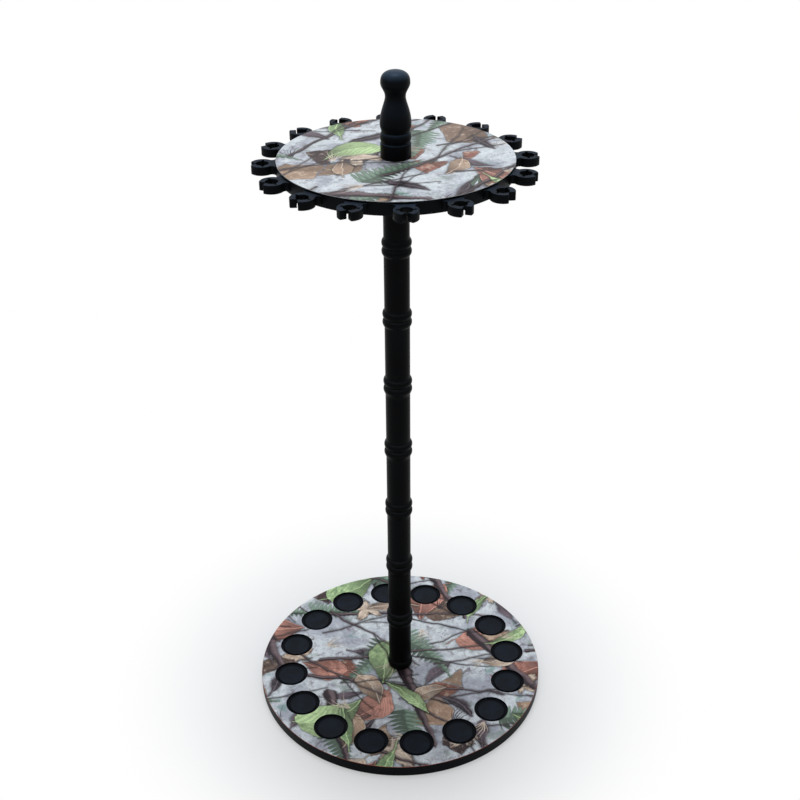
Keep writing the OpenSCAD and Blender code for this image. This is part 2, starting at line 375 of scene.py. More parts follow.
PALE_SNOW = srgb(216, 221, 225)
MIST = srgb(170, 173, 184)
SLATE = srgb(108, 95, 104)
DEEP = srgb(46, 42, 48)
MOSS = srgb(112, 132, 116)
TEAL = srgb(128, 164, 158)
LEAF_LIGHT = srgb(188, 212, 158)
LEAF_MID = srgb(128, 155, 114)
LEAF_DARK = srgb(46, 62, 46)
TAN_LIGHT = srgb(210, 192, 174)
TAN = srgb(176, 148, 126)
BROWN = srgb(66, 50, 52)
RUST_LIGHT = srgb(206, 150, 134)
RUST = srgb(148, 99, 86)
BARK_LIGHT = srgb(124, 106, 110)
BARK = srgb(52, 40, 46)
BARK_DARK = srgb(26, 21, 27)
GREENS = (LEAF_LIGHT, LEAF_MID, LEAF_DARK)
TANS = (TAN_LIGHT, TAN, BROWN)
RUSTS = (RUST_LIGHT, RUST, BROWN)
SHADOWS = (SLATE, DEEP, BARK_DARK)

# Taken off a depth, this puts a point outside any motif
NOWHERE = 999.0
# Steps that give each seed its own layout and its own draws
SEED_SHIFT = (37.7, 61.3, 0.0)
SEED_DRAW = (3.17, 7.31, 1.93)
SEED_LITTER = (71.0, 37.0, 0.0)
SECOND_DRAW = (11.3, 5.9, 3.7)


def times(factor, step):
    return tuple(factor * part for part in step)


class Scatter:
    """Splits the sheet into cells with one motif each, at its own place, angle and size."""

    def __init__(self, g, here, cell, seed, slant=0.0, jitter=(0.2, 0.2), spin=1.0):
        width, height = cell
        spread = g.vector("ADD", g.turn(here, slant), times(seed, SEED_SHIFT))
        spread = g.vector("DIVIDE", spread, (width, height, 1))
        number = g.vector("FLOOR", spread)
        local = g.vector("SUBTRACT", spread, g.vector("ADD", number, (0.5, 0.5, 0)))
        local = g.vector("MULTIPLY", local, (width, height, 0))
        mark = g.vector("ADD", number, times(seed, SEED_DRAW))
        self.first, second, third = g.chance(mark)
        self.size, self.shape, self.tint = g.chance(g.vector("ADD", mark, SECOND_DRAW))
        shift = g.join(
            (self.first - 0.5) * (width * jitter[0]), (second - 0.5) * (height * jitter[1])
        )
        local = g.turn(g.vector("SUBTRACT", local, shift), (third - 0.5) * (spin * FULL_TURN))
        self.along, self.across, _ = g.split(local)

    def scaled(self, least, most):
        """The motif's two coordinates at a size that differs from cell to cell."""
        scale = least + (most - least) * self.size
        return self.along / scale, self.across / scale


class Print:
    """The pattern: a pale ground with motifs laid on it, one layer after another."""

    def __init__(self, g, here):
        self.g = g
        self.here = here
        self.mottle = g.noise(here, scale=0.09, detail=5, roughness=0.68, distortion=0.4)
        self.fine = g.noise(here, scale=0.5, detail=4, roughness=0.72)
        self.rough = g.noise(here, scale=0.3, detail=3, roughness=0.65) - 0.5
        drift = g.noise(here, scale=0.045, detail=4, output="Color")
        drift = g.vector("SUBTRACT", drift, (0.5, 0.5, 0.5))
        self.wavy = g.vector("ADD", here, g.vector("MULTIPLY", drift, (11, 11, 0)))
        self.straight = g.vector("ADD", here, g.vector("MULTIPLY", drift, (4, 4, 0)))
        self.paint = self.ground()

    def moved(self, x, y):
        """The same point taken elsewhere, where a noise has nothing to do with the one here."""
        return self.g.vector("ADD", self.here, (x, y, 0))

    def ground(self):
        """Pale mottled ground with slate smudges and washes of moss and teal."""
        g = self.g
        wide = g.noise(self.here, scale=0.018, detail=5, roughness=0.66, distortion=0.6)
        smudge = g.noise(self.moved(70, 20), scale=0.06, detail=6, roughness=0.72, distortion=0.8)
        wash = g.noise(self.moved(190, -80), scale=0.021, detail=5, roughness=0.7)
        colour = g.mix(PALE_SNOW, MIST, g.smooth(0.42, 0.62, wide))
        colour = g.mix(colour, SLATE, 0.8 * g.smooth(0.52, 0.68, smudge))
        colour = g.mix(colour, MOSS, 0.5 * g.smooth(0.56, 0.66, wash))
        return g.mix(colour, TEAL, 0.7 * g.smooth(0.42, 0.34, wash))

    def past_ends(self, share):
        """How far a share along a motif lies outside 0 to 1."""
        return self.g.math("MAXIMUM", abs(share - 0.5) - 0.5, 0.0)

    def thinned(self, depth, draw, density):
        """Takes a motif away from the cells that drew a number above density."""
        return depth - NOWHERE * self.g.above(draw, density)

    def lay(self, colour, depth, edge=0.8, shadow=6.0, dark=0.68):
        """Lays a motif over what is there, with a soft shadow around it."""
        g = self.g
        near = g.smooth(-shadow, 0.5, depth)
        self.paint = g.shade(self.paint, 1.0 - dark * near * near)
        self.paint = g.mix(self.paint, colour, g.smooth(-edge / 2, edge / 2, depth))

    def blade(self, cells, colours, across, share, depth, ribs):
        """Blade of a leaf: blotches, dark tip, ribs with creases, one half in shade, lit rim."""
        g = self.g
        light, mid, dark = colours
        blotches = g.smooth(0.36, 0.62, self.mottle + 0.3 * (cells.tint - 0.5))
        dark_tip = g.smooth(0.55, 1.15, share + 1.2 * (self.mottle - 0.3))
        rib = abs(g.math("FRACT", share * ribs - abs(across) * (ribs / 62)) - 0.5)
        crease = g.smooth(0.0, 0.4, rib)
        light_side = g.smooth(-1.5, 1.5, across)
        midrib = g.smooth(1.2, 0.3, abs(across))
        lit_rim = g.smooth(1.8, 0.5, depth) * g.smooth(1.0, 4.0, across) * self.mottle
        blade = g.mix(g.mix(mid, light, blotches), dark, 0.8 * dark_tip)
        blade = g.shade(blade, (0.74 + 0.3 * light_side) * (0.82 + 0.36 * crease))
        blade = g.mix(blade, light, 0.45 * g.smooth(0.1, 0.0, rib))
        blade = g.mix(blade, g.shade(light, 1.2), 0.75 * midrib)
        blade = g.shade(blade, 0.72 + 0.28 * g.smooth(0.0, 2.2, depth))
        return g.mix(blade, g.shade(light, 1.25), 1.3 * lit_rim)

    def leaves(self, cell, seed, colours, width, density, sizes=(0.8, 1.15), slant=0.3,
               fullness=0.7, ribs=11.0):
        """Pointed leaves with a stalk, each bent its own way."""
        g = self.g
        cells = Scatter(g, self.wavy, (cell, cell), seed, slant)
        along, across = cells.scaled(*sizes)
        bend = (cells.first - 0.5) * 0.016
        across = across + along * along * bend
        length = cell * 0.76
        share = along / length + 0.5
        swell = g.math("SINE", (g.clamp(share) ** fullness) * math.pi)
        beyond = self.past_ends(share) * (2 * length)
        depth = swell * (length * width / 2) - abs(across) - beyond + 2.4 * self.rough
        colour = self.blade(cells, colours, across, share, depth, ribs)
        stalk_half, stalk_reach = 0.8, 0.18
        stalk = stalk_half - abs(across) - NOWHERE * g.above(abs(share), stalk_reach)
        depth = g.math("MAXIMUM", depth, stalk)
        self.lay(colour, self.thinned(depth, cells.shape, density))

    def maples(self, cell, seed, colours, density, slant, sizes=(0.8, 1.1)):
        """Leaves with five pointed lobes around the end of the stalk."""
        g = self.g
        cells = Scatter(g, self.wavy, (cell, cell), seed, slant)
        along, across = cells.scaled(*sizes)
        reach = g.math("SQRT", along * along + across * across)
        angle = g.math("ARCTAN2", across, along)
        lobe = abs(g.math("COSINE", angle * 2.5))
        notch = abs(g.math("SINE", angle * 11.0 + 0.12 * reach))
        radius = (0.15 + 0.21 * (lobe ** 1.6) + 0.03 * notch) * cell
        radius = radius * (0.72 + 0.28 * g.math("COSINE", angle))
        depth = (radius - reach) * 0.7 + 2.0 * self.rough
        rib = reach * abs(g.math("SINE", angle * 2.5)) * 0.4
        light, mid, dark = colours
        blotches = g.smooth(0.38, 0.62, self.mottle + 0.3 * (cells.tint - 0.5))
        dark_rim = g.smooth(5.0, 0.0, depth + 14.0 * (self.mottle - 0.5))
        blade = g.mix(g.mix(mid, light, blotches), dark, 0.75 * dark_rim)
        blade = g.shade(blade, 0.8 + 0.35 * g.smooth(0.0, 5.0, rib))
        blade = g.mix(blade, g.shade(light, 1.2), 0.7 * g.smooth(0.9, 0.3, rib))
        self.lay(blade, self.thinned(depth, cells.shape, density))

    def litter(self, size, seed, density):
        """Broken scraps of dead leaf, each with ribs in its own direction."""
        g = self.g
        scaled = g.vector("ADD", self.wavy, times(seed, SEED_LITTER))
        scaled = g.vector("DIVIDE", scaled, (size, size, 1))
        near = g.node("ShaderNodeTexVoronoi", feature="F1")
        border = g.node("ShaderNodeTexVoronoi", feature="DISTANCE_TO_EDGE")
        for made in (near, border):
            g.feed(made.inputs["Vector"], scaled)
            g.feed(made.inputs["Scale"], 1.0)
        pick, tint, angle = g.split(Term(g, near.outputs["Color"]))
        local = g.vector("SUBTRACT", scaled, Term(g, near.outputs["Position"]))
        local = g.turn(g.vector("MULTIPLY", local, (size, size, 0)), angle * FULL_TURN)
        along, across, _ = g.split(local)
        colour = g.mix(BROWN, TAN, g.smooth(0.1, 0.6, tint))
        colour = g.mix(colour, RUST, g.smooth(0.62, 0.7, tint))
        colour = g.mix(colour, TAN_LIGHT, 0.6 * g.smooth(0.5, 0.7, self.mottle))
        rib = abs(g.math("FRACT", along * 0.16 - abs(across) * 0.12) - 0.5)
        colour = g.shade(colour, (0.72 + 0.4 * g.smooth(-2, 2, across)) * (0.85 + 0.3 * rib))
        depth = Term(g, border.outputs["Distance"]) * size - 0.9 + 3.0 * self.rough
        self.lay(colour, self.thinned(depth, pick, density), shadow=4.0)

    def branches(self, cell, seed, width, density, slant, fork=True, sizes=(0.9, 1.1)):
        """Twigs or boughs that wander, taper and fork once."""
        g = self.g
        length, spacing = cell
        cells = Scatter(g, self.straight, cell, seed, slant, jitter=(0.06, 0.3), spin=0.07)
        along, across = cells.scaled(*sizes)
        wander = g.noise(self.here, scale=0.013, detail=3) - 0.5
        across = across + wander * (spacing * 0.3)
        share = along / (length * 0.86) + 0.5
        beyond = self.past_ends(share) * length
        half = width * (1.15 - 0.75 * share) + self.rough * (0.9 * width)
        depth = half - abs(across) - beyond
        if fork:
            fork_at = 0.45
            side = across + (share - fork_at) * (length * 0.3)
            before_fork = g.math("LESS_THAN", share, fork_at)
            branch = half * 0.55 - abs(side) - NOWHERE * before_fork - beyond
            depth = g.math("MAXIMUM", depth, branch)
        fibre = g.noise(g.join(along * 0.1, across), scale=0.5, detail=4, roughness=0.75)
        lit_side = g.smooth(0.7, 0.05, abs(across / width - 0.4))
        bark = g.mix(BARK_DARK, BARK, g.smooth(0.38, 0.6, fibre))
        bark = g.mix(bark, BARK_LIGHT, 0.85 * lit_side)
        self.lay(bark, self.thinned(depth, cells.shape, density), edge=1.0, shadow=5.0)

    def grass(self, cell, seed, colour, blades, reach, density, slant):
        """Tufts of thin blades that fan out from one point and curl at their ends."""
        g = self.g
        cells = Scatter(g, self.wavy, (cell, cell), seed, slant)
        along, across = cells.scaled(0.8, 1.2)
        along = along + reach * 0.5
        length = g.math("SQRT", along * along + across * across)
        angle = g.math("ARCTAN2", across, along) + length * length * 0.00022
        per_radian = blades / 2.0
        number = g.math("FLOOR", angle * per_radian)
        off_middle = abs(g.math("FRACT", angle * per_radian) - 0.5) * (1 / per_radian)
        tall = reach * (0.55 + 0.45 * abs(g.math("SINE", number * 2.4 + cells.first * 9.0)))
        half = g.smooth(tall, 0.0, length) * (0.25 + 0.6 * g.smooth(0.0, 16.0, length))
        depth = half + 0.05 - off_middle * length
        outside = g.above(abs(number + 0.5), 3.0) + g.above(length, tall)
        depth = self.thinned(depth - NOWHERE * outside, cells.shape, density)
        stroke = g.shade(colour, 0.7 + 0.7 * g.math("FRACT", number * 0.37 + 0.5))
        self.lay(stroke, depth, edge=0.7, shadow=1.2, dark=0.3)

    def fern(self, cell, seed, colour, density, slant):
        """Fronds whose leaflets stand in pairs along a curved rib."""
        g = self.g
        length, spacing = cell
        cells = Scatter(g, self.wavy, cell, seed, slant, spin=0.5)
        along, across = cells.scaled(0.9, 1.15)
        across = across + along * along * 0.0022
        share = along / (length * 0.72) + 0.5
        leaflet = abs(g.math("SINE", share * 46.0 - abs(across) * 0.12))
        half = (1.0 - share) * (0.18 + 0.82 * (leaflet ** 0.7)) * (spacing * 0.3)
        depth = (half - abs(across) - self.past_ends(share) * 400.0) * 0.5
        frond = g.shade(colour, 0.6 + 0.8 * leaflet * g.smooth(-2.0, 2.0, across))
        depth = self.thinned(depth, cells.shape, density)
        self.lay(frond, depth, shadow=3.0, dark=0.4)

    def dotted(self):
        """The whole pattern with the fine light and dark of a printed photograph."""
        g = self.g
        colour = g.shade(self.paint, 0.5 + self.fine)
        return g.shade(colour, 0.9 + 0.3 * g.smooth(0.3, 0.7, self.mottle))


# Where the two discs lie on the endless pattern, how far they are turned on it, and a height
# between them
BASE_STRETCH, BASE_SLANT = (40.0, -25.0), 0.35
TOP_STRETCH, TOP_SLANT = (300.0, 875.0), -0.6
BETWEEN_DISCS = 0.4


def place_on_print(g):
    """The point being shaded, on the pattern; the top disc has its own stretch of it."""
    x, y, z = g.split(g.place())
    upper = g.above(z, BETWEEN_DISCS)
    x = x / MM + BASE_STRETCH[0] + (TOP_STRETCH[0] - BASE_STRETCH[0]) * upper
    y = y / MM + BASE_STRETCH[1] + (TOP_STRETCH[1] - BASE_STRETCH[1]) * upper
    return g.turn(g.join(x, y), BASE_SLANT + (TOP_SLANT - BASE_SLANT) * upper)


def printed_camouflage():
    """The print's material, from the lowest layer of motifs to the highest."""
    g = Finish("printed_camouflage")
    art = Print(g, place_on_print(g))
    art.litter(46, seed=1.0, density=0.15)
    art.leaves(70, 12.0, SHADOWS, width=0.28, density=0.6, slant=0.8, fullness=0.9)
    art.fern((150, 90), 1.0, MOSS, density=0.6, slant=0.9)
    art.leaves(104, 2.0, RUSTS, width=0.62, density=0.42, slant=0.5)
    art.branches((300, 74), 3.0, width=2.4, density=0.75, slant=-0.35)
    art.maples(98, 4.0, TANS, density=0.36, slant=1.1)
    art.branches((210, 130), 5.0, width=8.5, density=0.65, slant=0.75, fork=False)
    art.leaves(84, 6.0, TANS, width=0.5, density=0.28, sizes=(0.75, 1.1), slant=1.4)
    art.leaves(118, 7.0, GREENS, width=0.6, density=0.3, slant=0.15, fullness=0.58, ribs=9.0)
    art.branches((190, 96), 8.0, width=1.4, density=0.65, slant=0.2)
    art.leaves(100, 9.0, GREENS, width=0.24, density=0.24, slant=2.2, fullness=0.85, ribs=14.0)
    art.branches((140, 64), 13.0, width=0.8, density=0.7, slant=-0.6)
    art.grass(92, 10.0, TAN_LIGHT, blades=9, reach=34, density=0.5, slant=0.4)
    art.grass(120, 11.0, DEEP, blades=11, reach=38, density=0.5, slant=1.2)
    sheen = g.noise(g.place(), scale=30, detail=3)
    g.set(
        Base_Color=art.dotted(),
        Roughness=0.42 + 0.12 * (sheen - 0.5),
        Specular_IOR_Level=0.16,
    )
    g.bump(g.noise(g.place(), scale=600, detail=2), depth_mm=0.04)
    return g.material


# Copies of one black paint. Besides roughness, grain and gloss, they differ in the painted
# highlight on faces that look up: faint in the cups, grey on the post, and on the knob reaching
# onto gentle slopes.
PAINT_BOARD = satin_black("satin_black_board", roughness=0.44)
PAINT_CUPS = satin_black("satin_black_cups", roughness=0.55, top_highlight=FAINT_TOP_HIGHLIGHT)
PAINT_POST = satin_black("satin_black_post", roughness=0.35, grain=ALONG_Z, top_highlight=GREY_TOP_HIGHLIGHT,
                         gloss=0.03, tint=NEARLY_WHITE)
PAINT_KNOB = satin_black("satin_black_knob", roughness=0.35, grain=ALONG_Z, highlight_from=0.08)
RUBBER = moulded_rubber()
FOAM = pad_foam()
ZINC = plated_metal("zinc_plate", srgb(198, 199, 204), srgb(150, 150, 154))
BLACK_ZINC = plated_metal("black_zinc_plate", srgb(26, 26, 28), srgb(16, 16, 17))
BRASS = plated_metal("turned_brass", srgb(214, 184, 112), srgb(160, 130, 74))
BROWN_CORE = sheet_bevel("brown_sheet_core", srgb(118, 46, 36), srgb(176, 90, 70))
# A light grey painted highlight on the top sheet's bevel, in place of its brown core
TOP_SHEET_HIGHLIGHT = sheet_bevel("top_sheet_painted_highlight", srgb(118, 118, 120), srgb(168, 170, 172))
CAMOUFLAGE = printed_camouflage()


# Mesh building

def finished(name, bm, materials, sharp_degrees=38):
    """Turns a bmesh into a smooth-shaded object in the scene."""
    bmesh.ops.recalc_face_normals(bm, faces=bm.faces)
    mesh = bpy.data.meshes.new(name)
    bm.to_mesh(mesh)
    bm.free()
    for material in materials:
        mesh.materials.append(material)
    mesh.shade_smooth()
    mesh.set_sharp_from_angle(angle=math.radians(sharp_degrees))
    piece = bpy.data.objects.new(name, mesh)
    bpy.context.scene.collection.objects.link(piece)
    return piece


def stands_for(piece, node):
    """Puts a piece on the root body, in place of a CAD node, which it hides."""
    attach(piece, ROOT)
    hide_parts(node)


def ring(bm, radius, z, count, centre=(0, 0)):
    """A circle of vertices around centre."""
    made = []
    for k in range(count):
        angle = FULL_TURN * k / count
        x = centre[0] + radius * math.cos(angle)
        y = centre[1] + radius * math.sin(angle)
        made.append(bm.verts.new((x, y, z)))
    return made


def band(bm, low, high, material=0):
    """Quads between two rings of the same count."""
    for k in range(len(low)):
        after = (k + 1) % len(low)
        face = bm.faces.new((low[k], low[after], high[after], high[k]))
        face.material_index = material


def edges_of(bm, loop):
    """The edges along a ring, made if they are missing."""
    made = []
    for k in range(len(loop)):
        pair = (loop[k], loop[(k + 1) % len(loop)])
        made.append(bm.edges.get(pair) or bm.edges.new(pair))
    return made


def fill(bm, loops, material=0):
    """A flat face between rings; all but the first are holes."""
    edges = [edge for loop in loops for edge in edges_of(bm, loop)]
    made = bmesh.ops.triangle_fill(bm, edges=edges, use_beauty=True, normal=(0, 0, 1))
    for item in made["geom"]:
        if isinstance(item, bmesh.types.BMFace):
            item.material_index = material


def stack(bm, outline, count, centre=(0, 0), material=0):
    """Rings joined by bands along an outline of (radius, z); gives the first and last ring."""
    rings = [ring(bm, radius, z, count, centre) for radius, z in outline]
    for low, high in zip(rings, rings[1:]):
        band(bm, low, high, material)
    return rings[0], rings[-1]


def arc(centre, radius, start, end, count):
    """Points along an arc; the angles are in degrees."""
    points = []
    for k in range(count + 1):
        angle = math.radians(start + (end - start) * k / count)
        points.append((centre[0] + radius * math.cos(angle), centre[1] + radius * math.sin(angle)))
    return points


def turned(name, outline, material, count=128):
    """A turned piece: an outline of (radius, z) from bottom to top, closed at both ends."""
    bm = bmesh.new()
    first, last = stack(bm, outline, count)
    fill(bm, [first])
    fill(bm, [last])
    return finished(name, bm, [material], sharp_degrees=32)


def spot(number, start, radius):
    """Middle of the numbered cup or clip, counted from the front."""
    angle = start + FULL_TURN * number / RODS
    return radius * math.sin(angle), -radius * math.cos(angle)


CUPS = [spot(k, CUP_TURN, CUP_CIRCLE_R) for k in range(RODS)]
DISC_STEPS = 256
CUP_STEPS = 64
HOLE_STEPS = 32
BOLT_HOLE = (0, 0, BOLT_HOLE_R, HOLE_STEPS)
# Place of the cups' paint, the board's black with a fainter painted highlight, in the base board's
# list of materials
IN_CUP = 1


def cup(bm, x, y):
    """A routed cup with a sloping lower corner; gives back its rim."""
    corner = PAD_HIGH_Z - PAD_LOW_Z
    outline = [(CUP_R, BASE_HIGH.z), (CUP_R, PAD_HIGH_Z)]
    for share in (0.35, 0.7, 1):
        outline.append((CUP_R - corner * share, PAD_HIGH_Z - corner * share ** 0.7))
    rim, floor = stack(bm, outline, CUP_STEPS, (x, y), IN_CUP)
    fill(bm, [floor], IN_CUP)
    return rim


def base_board():
    """The base board: eased lower edge, cups, bolt hole and counterbore."""
    bm = bmesh.new()
    ease = 1.2 * MM
    top = BASE_HIGH.z
    edge = arc((BASE_R - ease, ease), ease, -90, 0, 5)
    low, high = stack(bm, edge + [(BASE_R, top)], DISC_STEPS)
    rims = [cup(bm, x, y) for x, y in CUPS]
    seat, bolt_low = (ring(bm, r, COUNTERBORE, HOLE_STEPS) for r in (WASHER_HOLE_R, BOLT_HOLE_R))
    mouth = ring(bm, WASHER_HOLE_R, 0, HOLE_STEPS)
    bolt_high = ring(bm, BOLT_HOLE_R, top, HOLE_STEPS)
    band(bm, mouth, seat)
    band(bm, bolt_low, bolt_high)
    fill(bm, [seat, bolt_low])
    fill(bm, [low, mouth])
    fill(bm, [high, bolt_high, *rims])
    piece = finished("rack_base_board", bm, [PAINT_BOARD, PAINT_CUPS])
    stands_for(piece, "base_board")


def printed_sheet(name, node, radius, low_z, high_z, holes, core_and_highlight):
    """A printed sheet cut out at each hole, whose bevelled edge shows its brown core on the base
    and a painted highlight on the top.
    """
    bm = bmesh.new()
    bevel = 0.35 * MM
    hole_bevel = 0.2 * MM
    on_top, on_bevel, on_side = 0, 1, 2
    low = ring(bm, radius, low_z, DISC_STEPS)
    edge = ring(bm, radius, high_z - bevel, DISC_STEPS)
    high = ring(bm, radius - bevel, high_z, DISC_STEPS)
    band(bm, low, edge, on_side)
    band(bm, edge, high, on_bevel)
    lows, highs = [low], [high]
    for x, y, r, steps in holes:
        wall = [(r, low_z), (r, high_z - hole_bevel), (r + hole_bevel, high_z)]
        hole_low, hole_high = stack(bm, wall, steps, (x, y), on_side)
        lows.append(hole_low)
        highs.append(hole_high)
    fill(bm, lows, on_side)
    fill(bm, highs, on_top)
    piece = finished(name, bm, [CAMOUFLAGE, core_and_highlight, PAINT_BOARD], sharp_degrees=20)
    stands_for(piece, node)


def cup_pads():
    """A pad of firm foam in each cup, with a rounded edge and a shallow dish."""
    ease = 0.6 * MM
    dish = 0.25 * MM
    outline = [(PAD_R, PAD_LOW_Z), *arc((PAD_R - ease, PAD_HIGH_Z - ease), ease, 0, 90, 4)]
    for share in (0.9, 0.7, 0.4):
        outline.append((PAD_R * share, PAD_HIGH_Z - dish * (1 - share ** 4)))
    for k, centre in enumerate(CUPS):
        bm = bmesh.new()
        low, high = stack(bm, outline, CUP_STEPS, centre)
        fill(bm, [low])
        fill(bm, [high])
        piece = finished(f"foam_pad_{k + 1:02d}", bm, [FOAM], sharp_degrees=60)
        stands_for(piece, f"cup_pad_{k + 1:02d}")


def smooth_max(first, second, blend):
    """The larger of two values, with a fillet where they meet."""
    near = max(blend - abs(first - second), 0)
    return max(first, second) + near * near / (4 * blend)


def bead(z, middle, chord, crest_r, shaft_r):
    """Radius of a round bead at height z, or 0 away from it."""
    rise = crest_r - shaft_r
    radius = (chord * chord / 4 + rise * rise) / (2 * rise)
    if abs(z - middle) >= radius:
        return 0
    return crest_r - radius + math.sqrt(radius * radius - (z - middle) ** 2)


def post_beads(length):
    """The post's beads as (height above its foot, length, crest radius)."""
    foot_bead = (6.5 * MM, 13 * MM, 17.4 * MM)
    paired_l, paired_r = 11.2 * MM, 17.95 * MM
    first_pair = 88.8 * MM
    pairs = 7
    pitch = (length - first_pair) / pairs
    half_step = 5.4 * MM
    beads = [foot_bead]
    for pair in range(pairs):
        for side in (-half_step, half_step):
            beads.append((first_pair + pair * pitch + side, paired_l, paired_r))
    return beads


def post_heights(length, beads):
    """Heights of the post's rings: close together at the beads, far apart between them."""
    fine, coarse, reach = 0.4 * MM, 4 * MM, 7.5 * MM
    heights = [0]
    while heights[-1] < length:
        z = heights[-1]
        near = any(abs(z - middle) < reach for middle, _, _ in beads)
        ahead = [middle - reach - z for middle, _, _ in beads if middle - reach > z]
        step = fine if near else min([coarse, *ahead])
        heights.append(min(z + max(step, fine), length))
    return heights


def centre_post():
    """The turned post: a foot bead and seven pairs of beads, with paint in their corners."""
    shaft_r = 15.5 * MM
    fillet = 0.5 * MM
    length = POST_HIGH.z - POST_LOW.z
    beads = post_beads(length)
    outline = []
    for z in post_heights(length, beads):
        radius = shaft_r
        for middle, chord, crest_r in beads:
            radius = smooth_max(radius, bead(z, middle, chord, crest_r, shaft_r), fillet)
        outline.append((radius, POST_LOW.z + z))
    stands_for(turned("turned_post", outline, PAINT_POST), "post")


def swell(low, high, share):
    """Even S-curve from low to high."""
    return (low + high) / 2 - (high - low) / 2 * math.cos(math.pi * share)


# The handle's radii and heights, from its foot up
COLLAR_R, COLLAR_H, COLLAR_FOOT, COLLAR_EDGE = 17.4 * MM, 17.6 * MM, 0.6 * MM, 1.2 * MM
GROOVE_R, BEAD_R, BEAD_H = 15.75 * MM, 17.45 * MM, 12.2 * MM
VASE_R, LIP_H = 17.7 * MM, 9.2 * MM
NECK_R, NECK_L = 11.6 * MM, 1.1 * MM
BALL_R, BALL_LOW_H, BALL_TOP_H = 16.55 * MM, 15 * MM, 13.5 * MM
KNOB_TIP_R = 0.4 * MM
# Powers that shape the curves. From the neck on, a swell starts early below 1 and late above 1;
# the crown of the ball is fuller than round below 1.
VASE_BEND, BALL_BEND, CROWN_BEND = 0.74, 1.12, 0.77
KNOB_STEPS = 24


def collar_and_bead(shares):
    """Outline of the handle's lower part, up to the groove above its bead."""
    outline = arc((COLLAR_R - COLLAR_FOOT, COLLAR_FOOT), COLLAR_FOOT, -90, 0, 4)
    outline += arc((COLLAR_R - COLLAR_EDGE, COLLAR_H - COLLAR_EDGE), COLLAR_EDGE, 0, 78, 5)
    for t in shares[1:]:
        radius = GROOVE_R + (BEAD_R - GROOVE_R) * (1 - abs(2 * t - 1) ** 3)
        outline.append((radius, COLLAR_H + t * BEAD_H))
    return outline


def vase_and_ball(shares, lip_z, height):
    """Outline of the handle's upper part, from the groove to the tip."""
    vase_z = lip_z + LIP_H
    ball_z = height - BALL_TOP_H
    neck_top = ball_z - BALL_LOW_H
    neck_low = neck_top - NECK_L
    outline = []
    for t in shares[1:]:
        radius = GROOVE_R + (VASE_R - GROOVE_R) * math.sin(math.pi / 2 * t)
        outline.append((radius, lip_z + t * LIP_H))
    for t in shares[1:]:
        radius = swell(NECK_R, VASE_R, (1 - t) ** VASE_BEND)
        outline.append((radius, vase_z + t * (neck_low - vase_z)))
    for t in shares:
        outline.append((swell(NECK_R, BALL_R, t ** BALL_BEND), neck_top + t * BALL_LOW_H))
    for t in shares[1:-1]:
        across = math.cos(math.pi / 2 * t) ** CROWN_BEND
        up = math.sin(math.pi / 2 * t) ** CROWN_BEND
        outline.append((BALL_R * across, ball_z + BALL_TOP_H * up))
    outline.append((KNOB_TIP_R, height))
    return outline


def carrying_knob():
    """The turned handle: collar, bead, vase and ball."""
    shares = [k / KNOB_STEPS for k in range(KNOB_STEPS + 1)]
    outline = collar_and_bead(shares)
    outline += vase_and_ball(shares, COLLAR_H + BEAD_H, HANDLE_HIGH - TOP_TOP)
    outline = [(radius, TOP_TOP + z) for radius, z in outline]
    stands_for(turned("carrying_knob", outline, PAINT_KNOB), "handle")


def top_board():
    """The top board, with its lower edge eased."""
    bm = bmesh.new()
    ease = 1.0 * MM
    edge = arc((TOP_R - ease, TOP_LOW.z + ease), ease, -90, 0, 5)
    low, high = stack(bm, edge + [(TOP_R, TOP_HIGH.z)], DISC_STEPS)
    bolt_low = ring(bm, BOLT_HOLE_R, TOP_LOW.z, HOLE_STEPS)
    bolt_high = ring(bm, BOLT_HOLE_R, TOP_HIGH.z, HOLE_STEPS)
    band(bm, bolt_low, bolt_high)
    fill(bm, [low, bolt_low])
    fill(bm, [high, bolt_high])
    stands_for(finished("rack_top_board", bm, [PAINT_BOARD]), "top_board")


# Outline of a clip, in mm, with the middle of the rod opening at the origin and +u outward
CLIP_R = 13.8
BORE_R = 7.25
SLOT_HALF = 1.0
SLOT_END = 8.05
FUNNEL_HALF = math.radians(47)
TIP_R = 1.0
NOTCH_U = -0.7
NOTCH_V = 9.4
NOTCH_HALF = 1.4
NECK_HALF = 10.0
FOOT_HALF = 13.5
FOOT_END = 1.0
DISC_GAP = 0.1
# Its screw: the head's seat and the hole behind it, also in mm
SCREW_HEAD_U = -7.55
SCREW_HEAD_R = 3.6
SCREW_HOLE_R = 1.85
HEAD_SLOPE = 1.25
CUTTER_END_U = -20


def rod_opening():
    """Half of the rod opening: its back, the notch, its front and the slot."""
    def bore_angle(u):
        return math.degrees(math.acos(u / BORE_R))
    slot_angle = math.degrees(math.asin(SLOT_HALF / BORE_R))
    points = arc((0, 0), BORE_R, 180, bore_angle(NOTCH_U - NOTCH_HALF), 14)
    points += arc((NOTCH_U, NOTCH_V), NOTCH_HALF, 180, 0, 8)
    points += arc((0, 0), BORE_R, bore_angle(NOTCH_U + NOTCH_HALF), slot_angle, 18)
    points.append((SLOT_END, SLOT_HALF))
    return points


def jaw():
    """Half of the outside of the jaws: the rounded tip at the funnel, and round to the neck."""
    middle_r = CLIP_R - TIP_R
    offset = SLOT_HALF * math.cos(FUNNEL_HALF) - SLOT_END * math.sin(FUNNEL_HALF) + TIP_R
    tip_turn = FUNNEL_HALF + math.asin(offset / middle_r)
    tip = (middle_r * math.cos(tip_turn), middle_r * math.sin(tip_turn))
    tip_degrees = math.degrees(tip_turn)
    neck_degrees = 180 - math.degrees(math.asin(NECK_HALF / CLIP_R))
    points = arc(tip, TIP_R, math.degrees(FUNNEL_HALF) - 90, tip_degrees, 6)
    return points + arc((0, 0), CLIP_R, tip_degrees, neck_degrees, 40)[1:]


